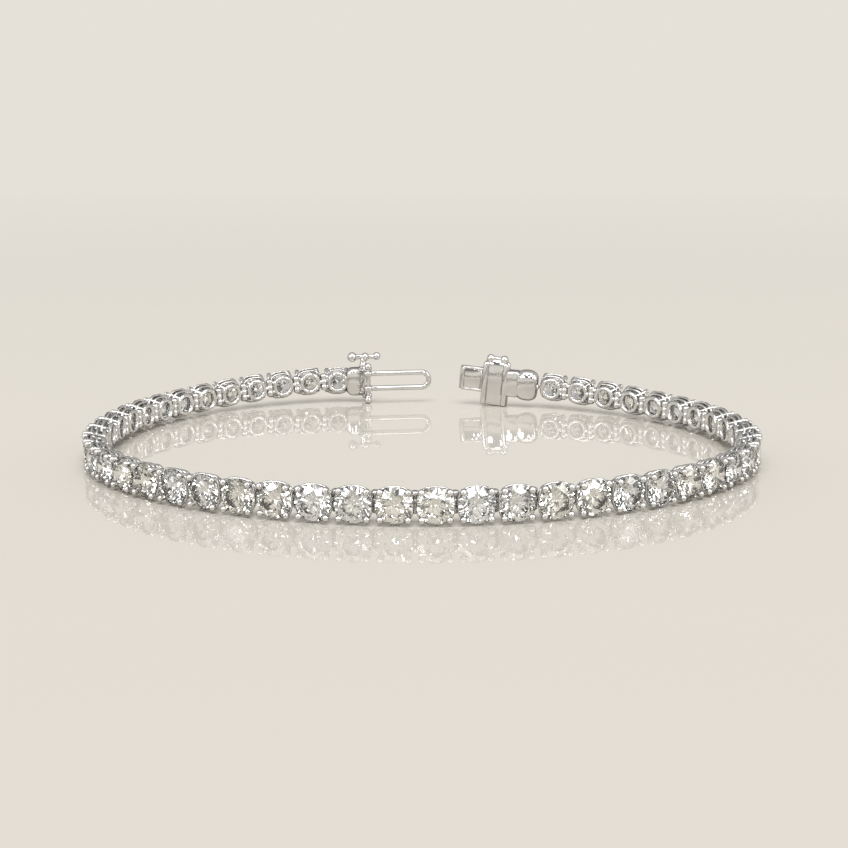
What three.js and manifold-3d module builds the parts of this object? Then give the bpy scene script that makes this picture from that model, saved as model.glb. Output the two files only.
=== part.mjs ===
// Tennis bracelet of 48 round brilliants in four-prong settings, standing open on its edge.
// Millimetres, +Z up. The origin is on the surface it stands on, under the middle of its box;
// the front of the loop faces -Y and the open clasp is at the back, +Y.
import * as THREE from 'three';
import { mergeVertices } from 'three/addons/utils/BufferGeometryUtils.js';
import Module from 'manifold-3d';

const wasm = await Module();
wasm.setup();

// ---------- driving dimensions ----------
const LOOP = {              // outline of the girdles, seen from above: a quarter of a superellipse each
  halfWidth: 33.2,
  front: { depth: 25.2, exponent: 1.98 },
  backLeft: { depth: 30.2, exponent: 2.27 },
  backRight: { depth: 27.9, exponent: 2.08 },
};
const LINK_PITCH = 3.38;    // hinge to hinge
const HINGE_INSET = 1.05;   // the hinges lie this far inside the girdles
const MIDDLE_HINGE_X = -0.54; // the hinge nearest the middle of the front
const LINKS_LEFT = 24;
const LINKS_RIGHT = 23;
const LINKS_PER_ROW = 4;
const BAND_HEIGHT = 3.4;
const LIFT = { left: 1.17, right: 1.35 };  // how high the band would stand at the very back
const LIFT_START = 0.5;     // the rise begins at this share of the loop's depth behind its middle
const ROW_GAP = 0.3;        // between one row and the next
const LOOP_CENTRE_Y = -2.02; // puts the middle of the whole box over the origin

const STONE = { tableRadius: 0.95, crown: 0.5, pavilion: 1.3 };
const RAIL = { halfWidth: 1.56, height: 0.42 };          // gallery rail round the girdle
const BASE = { outer: 1.28, inner: 0.74, low: -0.6, high: 0.1 };
const PRONG = { footSpread: 0.72, tipSpread: 0.93, radius: 0.26, foot: -0.55, tip: 1.05 };
const KNUCKLE = { radius: 0.62, height: 1.2, place: -0.38 }; // between the base rings of one row
const END_KNUCKLE = { radius: 0.36, reach: 1.35 };       // on the last link of a row
const RING_SIDES = 8;

const LEFT_CLASP = { turn: 8, centreHeight: 2.44 };      // degrees round Z, height of its mid line
const RIGHT_CLASP = { turn: -13, tilt: 5 };              // degrees round Z, free end raised by tilt
const BOX = { start: 2.1, length: 2.8, height: 3.2, inner: -0.85, outer: 1.15, corner: 0.9 };
const MOUTH = { start: 4.75, length: 0.95, height: 4.0, inner: -0.8, outer: 1.15 };
const SLOT = { start: 2.9, height: 2.8, halfThickness: 0.6 };
const BAIL_PIN = { x: 5.25, y: -1.55, radius: 0.2, knobRadius: 0.44 };
const BAIL = {
  length: 7.35, legSpacing: 2.0, wire: 0.26, eyeInner: 0.34, eyeOuter: 0.58, eyeHeight: 0.56, steps: 18,
};
const WIRE_SIDES = 6;
const THUMB_BAR = { x: 4.2, length: 3.6, height: 2.98, halfThickness: 0.24, ball: 0.42, stem: 0.34, gap: 0.3 };
const CROSS_BAR = { x: -5.55, width: 3.0, height: 3.5, neckWidth: 1.9, top: 3.15, inner: -0.85, outer: 1.15 };
const CAP_BALL = { radius: 0.42, spread: 0.92 };
const END_BLOCK = { start: -4.1, end: -0.45, height: 3.1, inner: -0.85, outer: 1.15, barrel: 1.3, barrelX: -1.75 };
const TONGUE = { start: -9.85, end: -7.35, halfHeight: 1.3, leaf: 0.34, opening: 0.42 };

const DEG = Math.PI / 180;

// ---------- joining and cutting ----------
function toSolid(geometry) {
  const plain = geometry.clone();
  plain.deleteAttribute('normal');
  plain.deleteAttribute('uv');
  const merged = mergeVertices(plain, 1e-4);
  return new wasm.Manifold(new wasm.Mesh({
    numProp: 3,
    vertProperties: new Float32Array(merged.attributes.position.array),
    triVerts: new Uint32Array(merged.index.array),
  }));
}

function toGeometry(solid) {
  const mesh = solid.getMesh();
  const geometry = new THREE.BufferGeometry();
  geometry.setAttribute('position', new THREE.BufferAttribute(new Float32Array(mesh.vertProperties), 3));
  geometry.setIndex(new THREE.BufferAttribute(new Uint32Array(mesh.triVerts), 1));
  geometry.computeVertexNormals();
  return geometry;
}

function joined(geometries) {
  return geometries.map(toSolid).reduce((whole, piece) => whole.add(piece));
}

// ---------- small shapes, in the frame of a link: X along the thread, Y away from the wrist, Z up ----------
function block(x0, x1, y0, y1, z0, z1) {
  const box = new THREE.BoxGeometry(x1 - x0, y1 - y0, z1 - z0);
  return box.translate((x0 + x1) / 2, (y0 + y1) / 2, (z0 + z1) / 2);
}

// A straight tapered bar from one point to another.
function strut(from, to, fromRadius, toRadius, sides) {
  const along = new THREE.Vector3().subVectors(to, from);
  const bar = new THREE.CylinderGeometry(toRadius, fromRadius, along.length(), sides, 1, false, Math.PI / sides);
  const turn = new THREE.Quaternion().setFromUnitVectors(new THREE.Vector3(0, 1, 0), along.clone().normalize());
  const middle = new THREE.Vector3().addVectors(from, to).multiplyScalar(0.5);
  return bar.applyQuaternion(turn).translate(middle.x, middle.y, middle.z);
}

// A body turned about Y from pairs of radius and place; flats face X and Z.
function turned(profile, sides = RING_SIDES) {
  const points = profile.map(([radius, place]) => new THREE.Vector2(radius, place));
  return new THREE.LatheGeometry(points, sides, Math.PI / sides);
}

function uprightPin(x, y, z0, z1, radius, sides) {
  return strut(new THREE.Vector3(x, y, z0), new THREE.Vector3(x, y, z1), radius, radius, sides);
}

function ball(x, y, z, radius) {
  return new THREE.SphereGeometry(radius, 7, 5).translate(x, y, z);
}

// ---------- one link: stone, gallery rail, base ring, prongs ----------
function setStone() {
  const across = 1 / Math.cos(Math.PI / RING_SIDES);      // so that the flats, not the corners, are at size
  const rail = BAND_HEIGHT / 2 * across;
  const girdle = HINGE_INSET;
  const stoneAndRail = turned([
    [0, girdle - STONE.pavilion],
    [rail, girdle - RAIL.height],
    [rail, girdle + 0.05],
    [STONE.tableRadius * across, girdle + STONE.crown],
    [0, girdle + STONE.crown],
  ]);
  return stoneAndRail.scale(RAIL.halfWidth / (BAND_HEIGHT / 2), 1, 1);
}

function baseRing() {
  return turned([
    [BASE.inner, BASE.low],
    [BASE.outer, BASE.low],
    [(BASE.inner + BASE.outer) / 2, BASE.high],
    [BASE.inner, BASE.low],
  ]);
}

function prongs() {
  const corners = [[1, 1], [1, -1], [-1, -1], [-1, 1]];
  return corners.map(([sx, sz]) => strut(
    new THREE.Vector3(sx * PRONG.footSpread, PRONG.foot, sz * PRONG.footSpread),
    new THREE.Vector3(sx * PRONG.tipSpread, PRONG.tip, sz * PRONG.tipSpread),
    PRONG.radius, PRONG.radius, 3,
  ));
}

function linkShapes(joinedAfter) {
  const half = LINK_PITCH / 2;
  const knuckle = joinedAfter
    ? uprightPin(half, KNUCKLE.place, -KNUCKLE.height / 2, KNUCKLE.height / 2, KNUCKLE.radius, 6)
    : uprightPin(END_KNUCKLE.reach, KNUCKLE.place, -KNUCKLE.height / 2, KNUCKLE.height / 2, END_KNUCKLE.radius, 6);
  return [setStone(), baseRing(), ...prongs(), knuckle];
}

// ---------- the route of the chain ----------
function outline(t) {
  const c = Math.cos(t);
  const s = Math.sin(t);
  const quarter = s < 0 ? LOOP.front : (c > 0 ? LOOP.backRight : LOOP.backLeft);
  const power = 2 / quarter.exponent;
  return new THREE.Vector2(
    LOOP.halfWidth * Math.sign(c) * Math.abs(c) ** power,
    quarter.depth * Math.sign(s) * Math.abs(s) ** power,
  );
}

// The hinge line lies inside the outline; its ends rise off the surface.
function hingePoint(t) {
  const step = 1e-4;
  const along = outline(t + step).sub(outline(t - step)).normalize();
  const place = outline(t).add(new THREE.Vector2(-along.y, along.x).multiplyScalar(HINGE_INSET));
  const right = Math.cos(t) > 0;
  const depth = (right ? LOOP.backRight : LOOP.backLeft).depth;
  const share = THREE.MathUtils.clamp((place.y / depth - LIFT_START) / (1 - LIFT_START), 0, 1);
  const rise = (right ? LIFT.right : LIFT.left) * share * share;
  return new THREE.Vector3(place.x, place.y, BAND_HEIGHT / 2 + rise);
}

function bisect(low, high, isBefore) {
  let [a, b] = [low, high];
  for (let i = 0; i < 50; i++) {
    const middle = (a + b) / 2;
    if (isBefore(middle)) a = middle;
    else b = middle;
  }
  return (a + b) / 2;
}

// Hinges one pitch apart, from the middle hinge round to one end; direction +1 goes right.
function hingesFrom(direction, count) {
  const front = -Math.PI / 2;
  const reach = 0.3;
  let t = bisect(front - reach, front + reach, (u) => hingePoint(u).x < MIDDLE_HINGE_X);
  const hinges = [hingePoint(t)];
  for (let i = 0; i < count; i++) {
    const last = hinges[i];
    t = bisect(t, t + direction * reach, (u) => hingePoint(u).distanceTo(last) < LINK_PITCH);
    hinges.push(hingePoint(t));
  }
  return hinges;
}

function linkFrame(from, to) {
  const along = new THREE.Vector3().subVectors(to, from).normalize();
  const outward = new THREE.Vector3(-along.y, along.x, 0).normalize();
  const up = new THREE.Vector3().crossVectors(along, outward);
  const middle = new THREE.Vector3().addVectors(from, to).multiplyScalar(0.5);
  return new THREE.Matrix4().makeBasis(along, outward, up).setPosition(middle);
}

function placed(geometry, matrix) {
  return geometry.applyMatrix4(matrix);
}

// ---------- chain rows, from the right end round the front to the left end ----------
const WHITE_GOLD = { color: 0xd9d8d6, roughness: 0.12, metalness: 1 };
const ROW_COLOURS = { color: 0xe4e3e1, roughness: 0.15, metalness: 0.6 };

const bracelet = new THREE.Group();
bracelet.position.y = LOOP_CENTRE_Y;

function addPiece(name, solid, look, parent) {
  const mesh = new THREE.Mesh(toGeometry(solid), new THREE.MeshStandardMaterial(look));
  mesh.name = name;
  parent.add(mesh);
  return mesh;
}

const leftHinges = hingesFrom(-1, LINKS_LEFT);
const rightHinges = hingesFrom(1, LINKS_RIGHT);
const hinges = [...rightHinges.slice(1).reverse(), ...leftHinges];
const linkCount = hinges.length - 1;

const loop = new THREE.Group();
bracelet.add(loop);
for (let first = 0, row = 1; first < linkCount; first += LINKS_PER_ROW, row++) {
  const last = Math.min(first + LINKS_PER_ROW, linkCount) - 1;
  const shapes = [];
  for (let i = first; i <= last; i++) {
    const frame = linkFrame(hinges[i], hinges[i + 1]);
    shapes.push(...linkShapes(i < last).map((shape) => placed(shape, frame)));
  }
  addPiece(`chain_row_${String(row).padStart(2, '0')}`, joined(shapes), ROW_COLOURS, loop);
}

// ---------- left end: box with mouth plate, bail pin and the last stone ----------
// In the clasp frames X runs to the right, Y away from the wrist and Z up, from the chain's last hinge.
function knob(x, y, z, up) {
  const r = BAIL_PIN.knobRadius;
  const profile = [[0, -0.5 * r], [0.75 * r, -0.5 * r], [r, 0], [0.8 * r, 0.55 * r], [0, 0.55 * r]];
  const body = new THREE.LatheGeometry(profile.map(([a, b]) => new THREE.Vector2(a, b)), 8);
  return body.rotateX(up > 0 ? Math.PI / 2 : -Math.PI / 2).translate(x, y, z);
}

function roundedBox() {
  const { start, length, height, corner, inner, outer } = BOX;
  const [x0, x1, z] = [start, start + length, height / 2];
  const face = new THREE.Shape();
  face.moveTo(x0 + corner, -z);
  face.lineTo(x1, -z);
  face.lineTo(x1, z);
  face.lineTo(x0 + corner, z);
  face.absarc(x0 + corner, z - corner, corner, Math.PI / 2, Math.PI, false);
  face.absarc(x0 + corner, -z + corner, corner, Math.PI, 1.5 * Math.PI, false);
  const body = new THREE.ExtrudeGeometry(face, { depth: outer - inner, bevelEnabled: false, curveSegments: 3 });
  return body.rotateX(Math.PI / 2).translate(0, outer, 0);
}

function boxHalf() {
  const half = LINK_PITCH / 2;
  const setting = [setStone(), baseRing(), ...prongs()]
    .map((shape) => shape.translate(half, 0, 0));
  const mouthEnd = MOUTH.start + MOUTH.length;
  const plate = block(MOUTH.start, mouthEnd, MOUTH.inner, MOUTH.outer, -MOUTH.height / 2, MOUTH.height / 2);
  const knobPlace = LEFT_CLASP.centreHeight - 0.55 * BAIL_PIN.knobRadius;
  const { x, y, radius } = BAIL_PIN;
  const pin = uprightPin(x, y, -knobPlace, knobPlace, radius, 8);
  const lugs = [-1, 1].map((side) => {
    const [z0, z1] = [side * 1.52, side * MOUTH.height / 2].sort((a, b) => a - b);
    return block(x - 0.45, x + 0.45, y - 0.3, MOUTH.inner + 0.2, z0, z1);
  });
  const whole = joined([...setting, roundedBox(), plate, pin, ...lugs,
    knob(x, y, knobPlace, 1), knob(x, y, -knobPlace, -1)]);
  const { start, height, halfThickness } = SLOT;
  const slot = block(start, mouthEnd + 1, -halfThickness, halfThickness, -height / 2, height / 2);
  return whole.subtract(toSolid(slot));
}

function thumbBar() {
  const { x, length, height, halfThickness, ball: r, stem } = THUMB_BAR;
  const [x0, x1] = [x - length / 2, x + length / 2];
  const bar = block(x0, x1, -halfThickness, halfThickness, height - halfThickness, height + halfThickness);
  const foot = BOX.height / 2 + THUMB_BAR.gap;
  return joined([
    bar,
    block(x - stem - 0.3, x + stem - 0.3, -stem, stem, foot, height),
    ball(x0 + 0.2, 0, height, r),
    ball(x0 + 1.25, 0, height, r),
    ball(x1 - 0.1, 0, height + 0.1, r * 0.9),
  ]);
}

// A hairpin of round wire whose legs end in eyes round the bail pin.
function bail() {
  const { length, legSpacing, wire, eyeInner, eyeOuter, eyeHeight } = BAIL;
  const half = legSpacing / 2;
  const legEnd = length - half;
  class Hairpin extends THREE.Curve {
    getPoint(u) {
      const straight = legEnd - eyeInner;
      const round = Math.PI * half;
      const s = u * (2 * straight + round);
      if (s < straight) return new THREE.Vector3(eyeInner + s, 0, -half);
      if (s > straight + round) return new THREE.Vector3(legEnd - (s - straight - round), 0, half);
      const a = (s - straight) / half - Math.PI / 2;
      return new THREE.Vector3(legEnd + half * Math.cos(a), 0, half * Math.sin(a));
    }
  }
  const section = new THREE.Shape(new THREE.EllipseCurve(0, 0, wire, wire).getPoints(WIRE_SIDES).slice(0, WIRE_SIDES));
  const loopWire = new THREE.ExtrudeGeometry(section, { steps: BAIL.steps, extrudePath: new Hairpin() });
  const eyes = [-half, half].map((z) => {
    const profile = [[eyeInner, -eyeHeight / 2], [eyeOuter, -eyeHeight / 2], [eyeOuter, eyeHeight / 2],
      [eyeInner, eyeHeight / 2], [eyeInner, -eyeHeight / 2]];
    const eye = new THREE.LatheGeometry(profile.map(([a, b]) => new THREE.Vector2(a, b)), 8);
    return eye.rotateX(Math.PI / 2).translate(0, 0, z);
  });
  const bore = uprightPin(0, 0, -half - 1, half + 1, eyeInner - 0.001, 8);
  return joined([loopWire, ...eyes]).subtract(toSolid(bore));
}

const leftEnd = leftHinges[LINKS_LEFT];
const leftClasp = new THREE.Group();
leftClasp.position.set(leftEnd.x, leftEnd.y, LEFT_CLASP.centreHeight);
leftClasp.rotation.z = LEFT_CLASP.turn * DEG;
bracelet.add(leftClasp);
addPiece('clasp_box', boxHalf(), WHITE_GOLD, leftClasp);
addPiece('thumb_bar', thumbBar(), WHITE_GOLD, leftClasp);
const safetyLoop = addPiece('safety_loop', bail(), WHITE_GOLD, leftClasp);
safetyLoop.position.set(BAIL_PIN.x, BAIL_PIN.y, 0);

// ---------- right end: end block with cross bar, and the folded tongue ----------
function endBlock() {
  const { start, end, height, inner, outer, barrel, barrelX } = END_BLOCK;
  const body = block(start, end, inner, outer, -height / 2, height / 2);
  const pillow = new THREE.LatheGeometry([[0, -1.8], [0.8 * barrel, -1.8], [barrel, -0.8], [barrel, 0.8],
    [0.8 * barrel, 1.8], [0, 1.8]].map(([a, b]) => new THREE.Vector2(a, b)), 12);
  pillow.rotateX(Math.PI / 2).translate(barrelX, (inner + outer) / 2, 0);
  const link = block(end - 0.3, -ROW_GAP / 2, BASE.low, BASE.high, -KNUCKLE.height / 2, KNUCKLE.height / 2);
  const { x, width, neckWidth, top } = CROSS_BAR;
  // The foot of the bar is as long as it takes to stand on the surface.
  const tilt = RIGHT_CLASP.tilt * DEG;
  const foot = (rightEnd.z - (x + neckWidth / 2) * Math.sin(tilt)) / Math.cos(tilt);
  const bar = block(x - width / 2, x + width / 2, CROSS_BAR.inner, CROSS_BAR.outer,
    -CROSS_BAR.height / 2, CROSS_BAR.height / 2);
  const neck = block(x - neckWidth / 2, x + neckWidth / 2, CROSS_BAR.inner + 0.2, CROSS_BAR.outer - 0.2,
    -foot, top - 0.45);
  const balls = [-1, 1].map((side) => ball(x + side * CAP_BALL.spread, 0.1, top - CAP_BALL.radius,
    CAP_BALL.radius));
  return joined([body, pillow, link, bar, neck, ...balls]);
}

function tongue() {
  const { start, end, halfHeight, leaf, opening } = TONGUE;
  const outlinePoints = [
    [start, -leaf * 0.6], [start + 0.35, -leaf], [end, -leaf], [end, 0], [start + 0.6, 0],
    [end - 0.1, opening], [end - 0.1, opening + leaf], [start + 0.3, leaf * 0.9], [start, leaf * 0.5],
  ];
  const face = new THREE.Shape(outlinePoints.map(([a, b]) => new THREE.Vector2(a, b)));
  const plate = new THREE.ExtrudeGeometry(face, { depth: 2 * halfHeight, bevelEnabled: false });
  plate.translate(0, 0, -halfHeight);
  const lip = ball(start + 0.3, 0, halfHeight, 0.36);
  return joined([plate, lip]);
}

const rightEnd = rightHinges[LINKS_RIGHT];
const rightClasp = new THREE.Group();
rightClasp.position.copy(rightEnd);
rightClasp.rotation.set(0, RIGHT_CLASP.tilt * DEG, RIGHT_CLASP.turn * DEG, 'ZYX');
bracelet.add(rightClasp);
addPiece('end_block', endBlock(), WHITE_GOLD, rightClasp);
addPiece('tongue', tongue(), WHITE_GOLD, rightClasp);

export default bracelet;
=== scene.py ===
import math
import random

import bmesh
import bpy
from mathutils import Matrix, Vector


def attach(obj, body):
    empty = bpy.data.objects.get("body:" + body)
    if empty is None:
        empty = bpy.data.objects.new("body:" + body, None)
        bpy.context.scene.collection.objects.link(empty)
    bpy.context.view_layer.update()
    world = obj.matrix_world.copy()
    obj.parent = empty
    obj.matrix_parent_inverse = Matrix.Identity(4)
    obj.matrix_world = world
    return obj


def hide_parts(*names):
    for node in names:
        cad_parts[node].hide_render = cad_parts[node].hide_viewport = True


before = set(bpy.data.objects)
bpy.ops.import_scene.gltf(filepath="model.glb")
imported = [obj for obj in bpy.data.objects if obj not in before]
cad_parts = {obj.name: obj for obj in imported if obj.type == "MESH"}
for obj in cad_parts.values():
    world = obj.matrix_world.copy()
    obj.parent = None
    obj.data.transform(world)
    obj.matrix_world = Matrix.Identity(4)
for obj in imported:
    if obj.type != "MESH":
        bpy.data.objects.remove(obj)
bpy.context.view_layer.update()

MM = 0.001
ROOT = "bracelet"
CATCH = "safety_catch"

# ---------- driving dimensions, millimetres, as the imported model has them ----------
HALF_WIDTH = 33.2
FRONT = (25.2, 1.98)          # depth, exponent of the front quarters of the outline
BACK_LEFT = (30.2, 2.27)
BACK_RIGHT = (27.9, 2.08)
PITCH = 3.38
HINGE_INSET = 1.05
MIDDLE_HINGE_X = -0.54
LINKS_LEFT = 24
LINKS_RIGHT = 23
LINKS_PER_ROW = 4
BAND_HEIGHT = 3.4
LIFT_LEFT = 1.17
LIFT_RIGHT = 1.35
LIFT_START = 0.5
LOOP_CENTRE_Y = -2.02

LEFT_TURN = 8.0               # degrees
LEFT_HEIGHT = 2.44
RIGHT_TURN = -13.0
RIGHT_TILT = 5.0


# ---------- mesh building: lists of vertices (mm) and faces, with a smooth flag ----------
class Shape:
    def __init__(self):
        self.points = []
        self.faces = []
        self.smooth = []

    def add(self, points, faces, smooth=True):
        first = len(self.points)
        self.points += [Vector(p) for p in points]
        self.faces += [tuple(first + i for i in f) for f in faces]
        self.smooth += [smooth] * len(faces)
        return self

    def join(self, other, matrix=None):
        first = len(self.points)
        self.points += [matrix @ p if matrix else p.copy() for p in other.points]
        self.faces += [tuple(first + i for i in f) for f in other.faces]
        self.smooth += other.smooth
        return self


def bridged(rings, around=False):
    """Faces between rings of equal length; the ends are capped, or the last ring joins the first."""
    count = len(rings[0])
    points = [p for ring in rings for p in ring]
    faces = []
    last = len(rings) if around else len(rings) - 1
    for i in range(last):
        a = i * count
        b = (i + 1) % len(rings) * count
        for j in range(count):
            k = (j + 1) % count
            faces.append((a + j, a + k, b + k, b + j))
    if not around:
        faces.append(tuple(reversed(range(count))))
        faces.append(tuple((len(rings) - 1) * count + j for j in range(count)))
    return points, faces


def circle(count, phase=0.0):
    step = 2 * math.pi / count
    return [(math.cos(phase + i * step), math.sin(phase + i * step)) for i in range(count)]


def ring_of_wire(radius, place, across, along, corner=0.0, around=40, sides=10):
    """A ring of wire round the link's Y axis, oval in section and pushed out towards the four prongs."""
    rings = []
    for c, s in circle(around):
        push = 1 + corner * (2 * c * s) ** 2
        rings.append([
            ((radius * push + across * u) * c, place + along * v, (radius * push + across * u) * s)
            for u, v in circle(sides)
        ])
    return Shape().add(*bridged(rings, around=True))


def tube(path, radii, sides=10):
    """A round bar along a path, with a radius at each point and domed ends."""
    path = [Vector(p) for p in path]
    radii = list(radii)
    for end in (0, -1):
        tip, size = path[end].copy(), radii[end]
        outward = (tip - path[1 if end == 0 else -2]).normalized()
        for share in (0.5, 0.8, 0.97):
            at = 0 if end == 0 else len(path)
            path.insert(at, tip + outward * size * share)
            radii.insert(at, size * math.sqrt(1 - share * share))
    rings = []
    side = None
    for i, p in enumerate(path):
        ahead = path[min(i + 1, len(path) - 1)] - path[max(i - 1, 0)]
        ahead.normalize()
        if side is None:
            side = ahead.orthogonal().normalized()
        side = (side - ahead * side.dot(ahead)).normalized()
        other = ahead.cross(side)
        rings.append([p + (side * c + other * s) * radii[i] for c, s in circle(sides)])
    return Shape().add(*bridged(rings))


def ball(centre, radius, squash=(1.0, 1.0, 1.0), around=14, rows=8):
    rings = []
    for i in range(1, rows):
        a = math.pi * i / rows
        rings.append([
            (
                centre[0] + radius * squash[0] * math.sin(a) * c,
                centre[1] + radius * squash[1] * math.sin(a) * s,
                centre[2] - radius * squash[2] * math.cos(a),
            )
            for c, s in circle(around)
        ])
    return Shape().add(*bridged(rings))


def turned(profile, centre=(0, 0, 0), around=24):
    """A body turned about the upright axis from pairs of radius and height."""
    rings = [[(centre[0] + r * c, centre[1] + r * s, centre[2] + z) for c, s in circle(around)]
             for r, z in profile]
    return Shape().add(*bridged(rings))


def rounded_rectangle(half_a, half_b, corner):
    per_corner = 4
    corner = min(corner, half_a * 0.98, half_b * 0.98)
    points = []
    for quarter in range(4):
        sa = 1 if quarter in (0, 3) else -1
        sb = 1 if quarter in (0, 1) else -1
        for i in range(per_corner):
            a = math.pi / 2 * (quarter + i / (per_corner - 1))
            points.append((sa * (half_a - corner) + corner * math.cos(a),
                           sb * (half_b - corner) + corner * math.sin(a)))
    return points


def loft(sections, axis="x", y_middle=0.0):
    """Rounded rectangles along an axis: each section is place, half width, half height, corner."""
    rings = []
    for place, half_a, half_b, corner in sections:
        outline = rounded_rectangle(half_a, half_b, corner)
        if axis == "x":
            rings.append([(place, y_middle + a, b) for a, b in outline])
        else:
            rings.append([(a, y_middle + b, place) for a, b in outline])
    return Shape().add(*bridged(rings))


# ---------- one round brilliant, table towards +Y ----------
def brilliant(radius=1.625, girdle_place=HINGE_INSET):
    table = 0.57 * radius
    crown = math.tan(math.radians(34.5)) * (radius - table)
    pavilion = math.tan(math.radians(40.8)) * radius
    girdle = 0.03 * radius
    star_radius = 0.765 * radius
    lower_radius = 0.24 * radius
    eighth = math.pi / 4
    half = math.pi / 8

    def at(r, angle, height):
        return (r * math.cos(angle), girdle_place + height, r * math.sin(angle))

    points = []
    tables = []
    stars = []
    upper = []
    lower = []
    inner = []
    for k in range(8):
        tables.append(len(points))
        points.append(at(table, k * eighth, girdle + crown))
    slope = crown / (radius - table)
    star_height = girdle + slope * (radius - star_radius * math.cos(half))
    for k in range(8):
        stars.append(len(points))
        points.append(at(star_radius, k * eighth + half, star_height))
    for k in range(16):
        upper.append(len(points))
        points.append(at(radius, k * half, girdle))
    for k in range(16):
        lower.append(len(points))
        points.append(at(radius, k * half, -girdle))
    depth = pavilion / radius
    for k in range(8):
        inner.append(len(points))
        points.append(at(lower_radius, k * eighth + half,
                         -girdle - pavilion + depth * lower_radius * math.cos(half)))
    culet = len(points)
    points.append(at(0, 0, -girdle - pavilion))

    faces = [tuple(tables)]
    for k in range(8):
        n = (k + 1) % 8
        faces.append((tables[k], stars[k], tables[n]))
        faces.append((tables[k], stars[k - 1], upper[2 * k], stars[k]))
        faces.append((stars[k], upper[2 * k], upper[2 * k + 1]))
        faces.append((stars[k], upper[2 * k + 1], upper[(2 * k + 2) % 16]))
        faces.append((inner[k], lower[2 * k + 1], lower[2 * k]))
        faces.append((inner[k], lower[(2 * k + 2) % 16], lower[2 * k + 1]))
        faces.append((culet, inner[k], lower[2 * k], inner[k - 1]))
    for k in range(16):
        n = (k + 1) % 16
        faces.append((upper[k], lower[k], lower[n], upper[n]))
    return Shape().add(points, faces, smooth=False)


# ---------- one four-prong setting ----------
PRONG = ((0.76, -0.42), (0.92, 0.1), (1.09, 0.62), (1.18, 1.0), (1.2, 1.25), (1.17, 1.42))   # sideways, outwards
PRONG_RADII = (0.2, 0.21, 0.23, 0.25, 0.26, 0.24)
TIP_PLACE, TIP_RADIUS = (1.185, 1.4), 0.3


def prong(sx, sz):
    shape = tube([(sx * side, out, sz * side) for side, out in PRONG], PRONG_RADII)
    tip = ball((0, 0, 0), TIP_RADIUS, squash=(1.0, 0.82, 1.0), around=16, rows=9)
    side, out = TIP_PLACE
    return shape.join(tip, Matrix.Translation((sx * side, out, sz * side)))


def setting():
    shape = ring_of_wire(1.53, 0.8, 0.12, 0.12, corner=0.1)
    shape.join(ring_of_wire(1.36, 0.3, 0.13, 0.14, corner=0.12))
    shape.join(ring_of_wire(1.03, -0.34, 0.24, 0.25))
    for sx in (-1, 1):
        for sz in (-1, 1):
            shape.join(prong(sx, sz))
    return shape


def hinge():
    """Knuckles on a pin between two links, at half a pitch, with the arms that carry them."""
    half, depth = PITCH / 2, -0.26
    barrel = [(0.26, -0.98), (0.38, -0.9), (0.38, -0.36), (0.28, -0.32), (0.38, -0.28), (0.38, 0.28),
              (0.28, 0.32), (0.38, 0.36), (0.38, 0.9), (0.26, 0.98)]
    shape = turned(barrel, centre=(half, depth, 0), around=16)
    shape.join(tube([(1.1, -0.3, 0), (half, depth, 0)], [0.3, 0.26], sides=8))
    for sz in (-1, 1):
        shape.join(tube([(half, depth, sz * 0.62), (PITCH - 1.08, -0.3, sz * 0.52)], [0.26, 0.28], sides=8))
    return shape


# ---------- the route of the chain ----------
def outline(t):
    c, s = math.cos(t), math.sin(t)
    depth, exponent = FRONT if s < 0 else (BACK_RIGHT if c > 0 else BACK_LEFT)
    power = 2 / exponent
    return Vector((
        HALF_WIDTH * math.copysign(abs(c) ** power, c),
        depth * math.copysign(abs(s) ** power, s),
    ))


def hinge_point(t):
    step = 1e-4
    along = (outline(t + step) - outline(t - step)).normalized()
    place = outline(t) + Vector((-along.y, along.x)) * HINGE_INSET
    right = math.cos(t) > 0
    depth = (BACK_RIGHT if right else BACK_LEFT)[0]
    share = min(max((place.y / depth - LIFT_START) / (1 - LIFT_START), 0), 1)
    rise = (LIFT_RIGHT if right else LIFT_LEFT) * share * share
    return Vector((place.x, place.y, BAND_HEIGHT / 2 + rise))


def bisect(low, high, is_before):
    for _ in range(50):
        middle = (low + high) / 2
        if is_before(middle):
            low = middle
        else:
            high = middle
    return (low + high) / 2


def hinges_from(direction, count):
    front = -math.pi / 2
    reach = 0.3
    t = bisect(front - reach, front + reach, lambda u: hinge_point(u).x < MIDDLE_HINGE_X)
    found = [hinge_point(t)]
    for _ in range(count):
        last = found[-1]
        t = bisect(t, t + direction * reach, lambda u: (hinge_point(u) - last).length < PITCH)
        found.append(hinge_point(t))
    return found


def link_frame(start, end):
    along = (end - start).normalized()
    outward = Vector((-along.y, along.x, 0)).normalized()
    up = along.cross(outward)
    middle = (start + end) / 2
    matrix = Matrix((along, outward, up)).transposed().to_4x4()
    matrix.translation = middle
    return matrix


LOOP = Matrix.Translation((0, LOOP_CENTRE_Y, 0))
left_hinges = hinges_from(-1, LINKS_LEFT)
right_hinges = hinges_from(1, LINKS_RIGHT)
hinges = right_hinges[:0:-1] + left_hinges
left_end = left_hinges[-1]
right_end = right_hinges[-1]
LEFT_CLASP = (LOOP @ Matrix.Translation((left_end.x, left_end.y, LEFT_HEIGHT))
              @ Matrix.Rotation(math.radians(LEFT_TURN), 4, "Z"))
RIGHT_CLASP = (LOOP @ Matrix.Translation(right_end) @ Matrix.Rotation(math.radians(RIGHT_TURN), 4, "Z")
               @ Matrix.Rotation(math.radians(RIGHT_TILT), 4, "Y"))


# ---------- materials ----------
def new_material(name):
    material = bpy.data.materials.new(name)
    material.use_nodes = True
    tree = material.node_tree
    shader = tree.nodes["Principled BSDF"]
    return material, tree, shader


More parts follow.
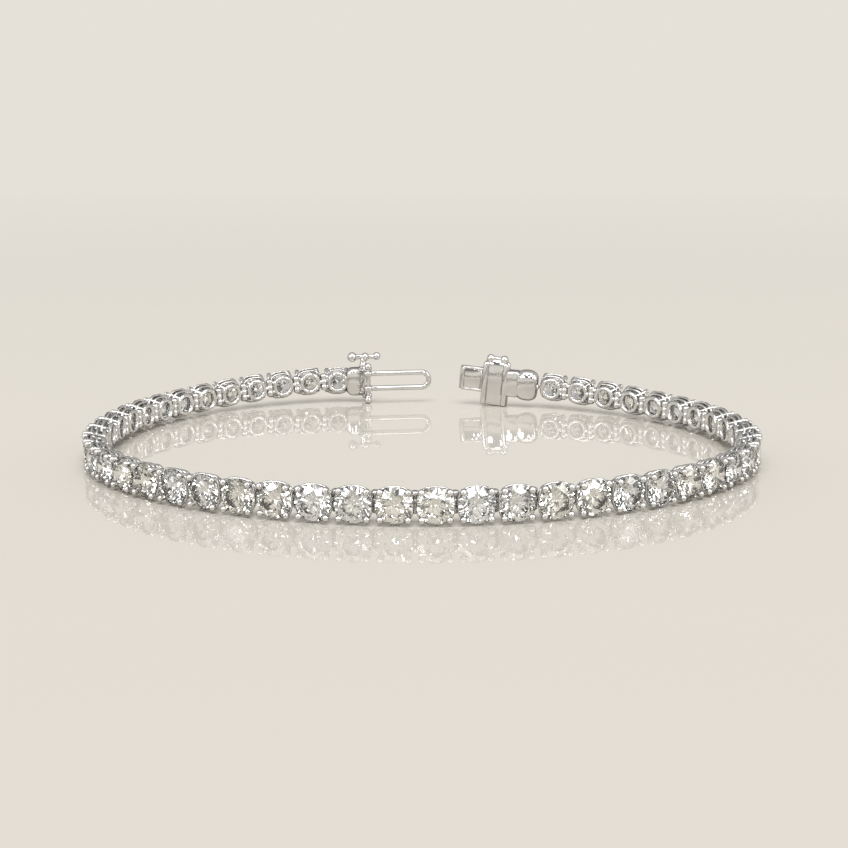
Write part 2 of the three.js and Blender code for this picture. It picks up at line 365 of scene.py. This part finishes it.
def ramp(tree, source, stops):
    node = tree.nodes.new("ShaderNodeValToRGB")
    while len(node.color_ramp.elements) < len(stops):
        node.color_ramp.elements.new(0.5)
    for element, (place, colour) in zip(node.color_ramp.elements, stops):
        element.position = place
        element.color = (*colour, 1)
    tree.links.new(source, node.inputs["Fac"])
    return node.outputs["Color"]


def noise(tree, scale, detail=3.0):
    place = tree.nodes.new("ShaderNodeTexCoord")
    node = tree.nodes.new("ShaderNodeTexNoise")
    node.inputs["Scale"].default_value = scale
    node.inputs["Detail"].default_value = detail
    tree.links.new(place.outputs["Object"], node.inputs["Vector"])
    return node.outputs["Fac"]


def white_gold(name="white_gold_polished"):
    """Rhodium-bright white gold: a high polish with faint swirl marks and uneven tone."""
    material, tree, shader = new_material(name)
    shader.inputs["Metallic"].default_value = 1.0
    shader.inputs["Specular Tint"].default_value = (0.25, 0.25, 0.27, 1)
    tone = ramp(tree, noise(tree, 700.0), [(0.3, (0.76, 0.75, 0.74)), (0.7, (0.85, 0.845, 0.835))])
    tree.links.new(tone, shader.inputs["Base Color"])
    wear = ramp(tree, noise(tree, 2600.0, 5.0), [(0.35, (0.05,) * 3), (0.75, (0.16,) * 3)])
    tree.links.new(wear, shader.inputs["Roughness"])
    bump = tree.nodes.new("ShaderNodeBump")
    bump.inputs["Strength"].default_value = 0.06
    bump.inputs["Distance"].default_value = 0.00002
    tree.links.new(noise(tree, 5200.0, 4.0), bump.inputs["Height"])
    tree.links.new(bump.outputs["Normal"], shader.inputs["Normal"])
    return material


def diamond(name="diamond_near_colourless"):
    """Diamond: clear, strongly refracting, each stone a little warmer or cooler than the next."""
    material, tree, shader = new_material(name)
    geometry = tree.nodes.new("ShaderNodeNewGeometry")
    tint = ramp(tree, geometry.outputs["Random Per Island"], [
        (0.0, (0.97, 0.985, 1.0)),
        (0.45, (1.0, 0.995, 0.97)),
        (1.0, (1.0, 0.985, 0.90)),
    ])
    tree.links.new(tint, shader.inputs["Base Color"])
    shader.inputs["Roughness"].default_value = 0.0
    shader.inputs["IOR"].default_value = 2.417
    shader.inputs["Transmission Weight"].default_value = 1.0
    return material


GOLD = white_gold()
DIAMOND = diamond()


# ---------- pieces ----------
JEWELLERY = bpy.data.collections.new("jewellery")


def make_piece(name, shape, matrix, material, nodes, body=ROOT):
    mesh = bpy.data.meshes.new(name)
    mesh.from_pydata([(matrix @ p) * MM for p in shape.points], [], shape.faces)
    mesh.polygons.foreach_set("use_smooth", shape.smooth)
    work = bmesh.new()
    work.from_mesh(mesh)
    bmesh.ops.recalc_face_normals(work, faces=work.faces)
    work.to_mesh(mesh)
    work.free()
    mesh.materials.append(material)
    piece = bpy.data.objects.new(name, mesh)
    bpy.context.scene.collection.objects.link(piece)
    JEWELLERY.objects.link(piece)
    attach(piece, body)
    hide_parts(*nodes)
    return piece


def chain_rows():
    random.seed(7)
    stone, metal, knuckle = brilliant(), setting(), hinge()
    count = len(hinges) - 1
    for row, first in enumerate(range(0, count, LINKS_PER_ROW), start=1):
        last = min(first + LINKS_PER_ROW, count)
        metals, stones = Shape(), Shape()
        for i in range(first, last):
            place = link_frame(hinges[i], hinges[i + 1])
            metals.join(metal, place)
            metals.join(knuckle, place)
            # Each stone is turned in its setting by chance and sits a hair out of true.
            turn = Matrix.Rotation(random.uniform(0, math.pi / 4), 4, "Y")
            lean = (Matrix.Rotation(math.radians(random.uniform(-1.2, 1.2)), 4, "X")
                    @ Matrix.Rotation(math.radians(random.uniform(-1.2, 1.2)), 4, "Z"))
            stones.join(stone, place @ lean @ turn)
        node = f"chain_row_{row:02d}"
        make_piece(f"settings_{row:02d}", metals, LOOP, GOLD, [node])
        make_piece(f"stones_{row:02d}", stones, LOOP, DIAMOND, [node])


def clasp_box():
    shape = Shape().join(setting(), Matrix.Translation((PITCH / 2, 0, 0)))
    # Box: rounded towards the chain, carried by the mouth plate.
    back, front, corner, height, thick = 2.75, 4.9, 0.8, 1.66, 1.0
    outer = []
    for i in range(7):
        a = math.pi / 2 * i / 6
        outer.append((back + corner * (1 - math.cos(a)), thick - 0.35 * (1 - math.sin(a)),
                      height - corner * (1 - math.sin(a)), 0.5))
    outer.append((front, thick, height, 0.4))
    shape.join(loft(outer, y_middle=0.15))
    # Mouth plate: a flange round the slot, its rim softened, with the slot running back into the box.
    shape.join(loft([
        (4.72, 0.86, 1.9, 0.3), (4.78, 0.95, 2.0, 0.34), (5.58, 0.95, 2.0, 0.34), (5.66, 0.87, 1.92, 0.3),
        (5.66, 0.56, 1.36, 0.12), (5.6, 0.52, 1.32, 0.1), (4.9, 0.52, 1.32, 0.1),
    ], y_middle=0.17))
    # Bail pin: a wire with ball ends, held by lugs.
    x, y = 5.25, -1.55
    reach = LEFT_HEIGHT - 0.42
    shape.join(tube([(x, y, -reach), (x, y, reach)], [0.22, 0.22], sides=12))
    for sz, lug in ((-1, 1.72), (1, 1.98)):
        shape.join(tube([(x, y, sz * lug), (x, -0.75, sz * lug)], [0.34, 0.34], sides=12))
        shape.join(ball((x, y + 0.02, sz * (LEFT_HEIGHT - 0.43)), 0.43))
        shape.join(ball((x + 0.2, -0.74, sz * 1.62), 0.36))
    return shape


def thumb_bar():
    height = 2.98
    shape = tube([(3.4, 0, height), (5.0, 0, height), (6.5, 0, height + 0.06)], [0.3, 0.28, 0.27], sides=12)
    for place, size, rise in ((3.5, 0.58, 0.0), (5.05, 0.5, 0.0), (6.45, 0.47, 0.06)):
        shape.join(ball((place, 0, height + rise), size))
    shape.join(turned([(0.44, 1.45), (0.46, 2.0), (0.36, 2.2), (0.3, 2.5), (0.32, 2.9)],
                      centre=(4.8, 0, 0), around=16))
    return shape


def safety_loop():
    """A hairpin of round wire; its legs end in eyes on the bail pin."""
    x, y, half, length, wire, rise = 5.25, -1.55, 0.9, 7.35, 0.31, 0.3
    bend = length - half
    path = [(x + 0.45 + (bend - 0.45) * i / 6, y, -half) for i in range(7)]
    path += [(x + bend + half * math.sin(math.pi * i / 20), y, -half * math.cos(math.pi * i / 20))
             for i in range(1, 20)]
    path += [(p[0], p[1], -p[2]) for p in reversed(path[:7])]
    shape = Shape().join(tube(path, [wire] * len(path), sides=14), Matrix.Translation((0, 0, rise)))
    for sz in (-1, 1):
        rings = []
        for c, s in circle(20):
            rings.append([(x + (0.46 + 0.12 * u) * c, y + (0.46 + 0.12 * u) * s, rise + sz * half + 0.26 * v)
                          for u, v in circle(10)])
        shape.join(Shape().add(*bridged(rings, around=True)))
    return shape


def end_block():
    shape = Shape()
    # Neck behind the cross bar, and the bright pillow next to the chain.
    shape.join(loft([(-4.3, 0.86, 1.5, 0.25), (-2.5, 0.9, 1.56, 0.3), (-2.2, 0.8, 1.4, 0.3)], y_middle=0.15))
    pillow = []
    for i in range(15):
        a = math.pi * i / 14
        swell = math.sin(a) ** 0.5 if 0 < i < 14 else 0.28
        pillow.append((-1.32 - 1.25 * math.cos(a), 0.35 + 0.75 * swell, 0.75 + 1.08 * swell, 0.85))
    shape.join(loft(pillow, y_middle=0.15))
    shape.join(tube([(-0.4, -0.2, 0), (-0.06, -0.22, 0)], [0.42, 0.32], sides=12))
    # Cross bar: a hollow-faced web between two round posts, reaching down to a foot.
    x, top, half = -5.1, 3.15, 1.22
    tilt = math.radians(RIGHT_TILT)
    foot = (right_end.z - (x + half) * math.sin(tilt)) / math.cos(tilt)
    for side in (-1, 1):
        for y in (-0.42, 0.7):
            post = [(0.16, -foot + 0.02), (0.3, -foot + 0.14), (0.34, -foot + 0.4), (0.34, 1.9), (0.28, 2.2), (0.14, 2.3)]
            shape.join(turned(post, centre=(x + side * half, y, 0), around=20))
        shape.join(ball((x + side * 0.8, 0.05, top - 0.5), 0.52))
        shape.join(ball((x + side * 1.1, -0.4, 2.0), 0.36))
    web = [(-foot, half - 0.1, 0.5, 0.2), (-foot + 0.1, half, 0.58, 0.24), (2.0, half, 0.58, 0.24),
           (2.3, half - 0.2, 0.5, 0.24), (2.6, 0.7, 0.42, 0.3)]
    shape.join(loft(web, axis="z"), Matrix.Translation((x, 0.15, 0)))
    shape.join(tube([(x - 0.8, 0.05, top - 0.5), (x + 0.8, 0.05, top - 0.5)], [0.32, 0.32], sides=12))
    return shape


def tongue():
    """A strip folded back on itself, crowned across its width: the fold goes in first, the upper leaf springs open."""
    start, end, half, leaf, crown, steps = -9.3, -6.3, 1.36, 0.3, 0.24, 10
    lower = [(end, 0), (-8.0, 0), (start + 0.5, 0)]
    fold = [(start + 0.26 + 0.26 * math.cos(a), 0.26 + 0.26 * math.sin(a))
            for a in (math.radians(d) for d in (270, 235, 200, 165, 130, 95))]
    upper = [(start + 0.6, 0.55), (-8.0, 0.65), (end + 0.15, 0.8)]
    route = lower + fold + upper
    heights = [half * (2 * i / steps - 1) for i in range(steps + 1)]
    section = [(leaf / 2, z) for z in heights] + [(-leaf / 2, z) for z in reversed(heights)]
    rings = []
    for i, (px, py) in enumerate(route):
        ax, ay = route[max(i - 1, 0)]
        bx, by = route[min(i + 1, len(route) - 1)]
        run = math.hypot(bx - ax, by - ay)
        nx, ny = -(by - ay) / run, (bx - ax) / run
        rings.append([(px + nx * a, py + ny * a - crown * (1 - (z / half) ** 2), z) for a, z in section])
    shape = Shape().add(*bridged(rings))
    # Rims along the two long edges and across the fold frame the inner face.
    for sz in (-1, 1):
        shape.join(tube([(start + 0.3, -leaf / 2, sz * (half - 0.08)), (end, -leaf / 2, sz * (half - 0.08))], [0.17, 0.17]))
    shape.join(tube([(start + 0.3, -leaf / 2 - 0.2, -half + 0.2), (start + 0.3, -leaf / 2 - 0.2, half - 0.2)], [0.2, 0.2]))
    return shape


chain_rows()
make_piece("clasp_box_metal", clasp_box(), LEFT_CLASP, GOLD, ["clasp_box"])
make_piece("clasp_box_stone", brilliant(), LEFT_CLASP @ Matrix.Translation((PITCH / 2, 0, 0)), DIAMOND,
           ["clasp_box"])
make_piece("thumb_bar_polished", thumb_bar(), LEFT_CLASP, GOLD, ["thumb_bar"])
make_piece("safety_loop_wire", safety_loop(), LEFT_CLASP, GOLD, ["safety_loop"], body=CATCH)
make_piece("end_block_polished", end_block(), RIGHT_CLASP, GOLD, ["end_block"])
make_piece("tongue_folded", tongue(), RIGHT_CLASP, GOLD, ["tongue"])


# ---------- floor, backdrop, light, camera ----------
GROUND = bpy.data.collections.new("ground")
FLOOR_REACH = 30.0            # metres; far enough that its edge lies on the horizon
HORIZON = (0.785, 0.755, 0.69) # the room's colour at the horizon, which the far floor fades into
FRONT_SHADE = 0.33           # how dark the room is behind the camera, against the sides and back
TOP_GLOW = 1.5                # radiance of the overhead softbox on the jewellery
FLOOR_GLOW = 2.9              # and of its twin on the floor
SIDE_GLOW = 2.5
SPARKLE_GLOW = 5.5
BULB_SIZE = 0.11
BULBS = ((-70, 26), (-52, 44), (-34, 24), (-17, 47), (-5, 28), (14, 40), (27, 25), (44, 46), (60, 26), (78, 40))


def studio():
    material, tree, shader = new_material("pale_gloss_floor")
    tone = ramp(tree, noise(tree, 2.0), [(0.3, (0.785, 0.743, 0.673)), (0.7, (0.795, 0.755, 0.687))])
    tree.links.new(tone, shader.inputs["Base Color"])
    rough = ramp(tree, noise(tree, 60.0), [(0.3, (0.02,) * 3), (0.7, (0.035,) * 3)])
    tree.links.new(rough, shader.inputs["Roughness"])
    shader.inputs["IOR"].default_value = 1.58
    # Far from the object the floor fades into the room, so that no horizon shows.
    place = tree.nodes.new("ShaderNodeTexCoord")
    distance = tree.nodes.new("ShaderNodeVectorMath")
    distance.operation = "LENGTH"
    tree.links.new(place.outputs["Object"], distance.inputs[0])
    glow = tree.nodes.new("ShaderNodeEmission")
    glow.inputs["Color"].default_value = (*HORIZON, 1)
    blend = tree.nodes.new("ShaderNodeMixShader")
    tree.links.new(ramp(tree, distance.outputs["Value"], [(0.1, (0.0,) * 3), (0.6, (1.0,) * 3)]), blend.inputs["Fac"])
    tree.links.new(shader.outputs["BSDF"], blend.inputs[1])
    tree.links.new(glow.outputs["Emission"], blend.inputs[2])
    tree.links.new(blend.outputs["Shader"], tree.nodes["Material Output"].inputs["Surface"])
    places = [-FLOOR_REACH, -2.0, -0.3, 0.3, 2.0, FLOOR_REACH]
    points = [(x, y, 0) for y in places for x in places]
    n = len(places)
    faces = [(j * n + i, j * n + i + 1, (j + 1) * n + i + 1, (j + 1) * n + i)
             for j in range(n - 1) for i in range(n - 1)]
    mesh = bpy.data.meshes.new("studio_floor")
    mesh.from_pydata(points, [], faces)
    mesh.materials.append(material)
    floor = bpy.data.objects.new("studio_floor", mesh)
    bpy.context.scene.collection.objects.link(floor)
    GROUND.objects.link(floor)


def area_light(name, place, size, glow, receivers, colour=(1, 1, 1)):
    data = bpy.data.lights.new(name, "AREA")
    data.shape = "RECTANGLE"
    data.size, data.size_y = size
    data.energy = glow * math.pi * size[0] * size[1]
    data.color = colour
    lamp = bpy.data.objects.new(name, data)
    lamp.location = place
    lamp.rotation_euler = (-Vector(place)).to_track_quat("-Z", "Y").to_euler()
    bpy.context.scene.collection.objects.link(lamp)
    lamp.light_linking.receiver_collection = receivers
    return lamp


def lights():
    world = bpy.data.worlds.new("studio")
    world.use_nodes = True
    tree = world.node_tree
    background = tree.nodes["Background"]
    place = tree.nodes.new("ShaderNodeTexCoord")
    split = tree.nodes.new("ShaderNodeSeparateXYZ")
    tree.links.new(place.outputs["Generated"], split.inputs["Vector"])
    sky = ramp(tree, split.outputs["Z"], [
        (0.0, HORIZON), (0.2, (0.785, 0.757, 0.695)), (0.45, (0.55, 0.54, 0.52)), (1.0, (0.5, 0.49, 0.48)),
    ])
    # A dark patch of room behind the camera: on the minus Y side, above the horizon and below the softbox.
    behind = tree.nodes.new("ShaderNodeMath")
    behind.operation = "MULTIPLY"
    behind.inputs[1].default_value = -1.0
    tree.links.new(split.outputs["Y"], behind.inputs[0])
    patch = tree.nodes.new("ShaderNodeMath")
    patch.operation = "MULTIPLY"
    black, white = (0.0,) * 3, (1.0,) * 3
    tree.links.new(ramp(tree, behind.outputs["Value"], [(0.05, black), (0.35, white)]), patch.inputs[0])
    tree.links.new(ramp(tree, split.outputs["Z"], [(0.14, black), (0.28, white), (0.74, white), (0.84, black)]),
                   patch.inputs[1])
    shade = ramp(tree, patch.outputs["Value"], [(0.0, white), (1.0, (FRONT_SHADE,) * 3)])
    mix = tree.nodes.new("ShaderNodeVectorMath")
    mix.operation = "MULTIPLY"
    tree.links.new(sky, mix.inputs[0])
    tree.links.new(shade, mix.inputs[1])
    tree.links.new(mix.outputs["Vector"], background.inputs["Color"])
    background.inputs["Strength"].default_value = 1.0
    bpy.context.scene.world = world
    # The floor has its own softbox, which its gloss doesn't mirror; the other lamps light the jewellery alone.
    above, above_size = (0.0, -0.2, 0.72), (0.75, 0.55)
    area_light("softbox_floor", above, above_size, FLOOR_GLOW, GROUND).visible_glossy = False
    area_light("softbox_top", above, above_size, TOP_GLOW, JEWELLERY, (1.0, 0.985, 0.96))
    area_light("softbox_left", (-0.6, -0.45, 0.42), (0.3, 0.5), SIDE_GLOW, JEWELLERY, (0.97, 0.985, 1.0))
    area_light("softbox_right", (0.62, -0.35, 0.36), (0.25, 0.45), SIDE_GLOW, JEWELLERY, (1.0, 0.975, 0.94))
    for i, (azimuth, elevation) in enumerate(BULBS):
        a, e = math.radians(azimuth), math.radians(elevation)
        area_light(f"bulb_{i}", (0.7 * math.sin(a) * math.cos(e), -0.7 * math.cos(a) * math.cos(e), 0.7 * math.sin(e)),
                   (BULB_SIZE, BULB_SIZE), SPARKLE_GLOW, JEWELLERY)


def camera():
    elevation, distance, lens = math.radians(12.14), 155.3, 58.95
    target = Vector((0.2, 13.14, 0.0))
    data = bpy.data.cameras.new("camera")
    data.lens = lens
    data.sensor_width = 36
    data.clip_start = 0.005
    data.clip_end = 2 * FLOOR_REACH
    eye = bpy.data.objects.new("camera", data)
    away = Vector((0, -math.cos(elevation), math.sin(elevation)))
    eye.location = (target + away * distance) * MM
    eye.rotation_euler = (-away).to_track_quat("-Z", "Y").to_euler()
    bpy.context.scene.collection.objects.link(eye)
    bpy.context.scene.camera = eye


studio()
lights()
camera()
bpy.context.scene.view_settings.view_transform = "Standard"
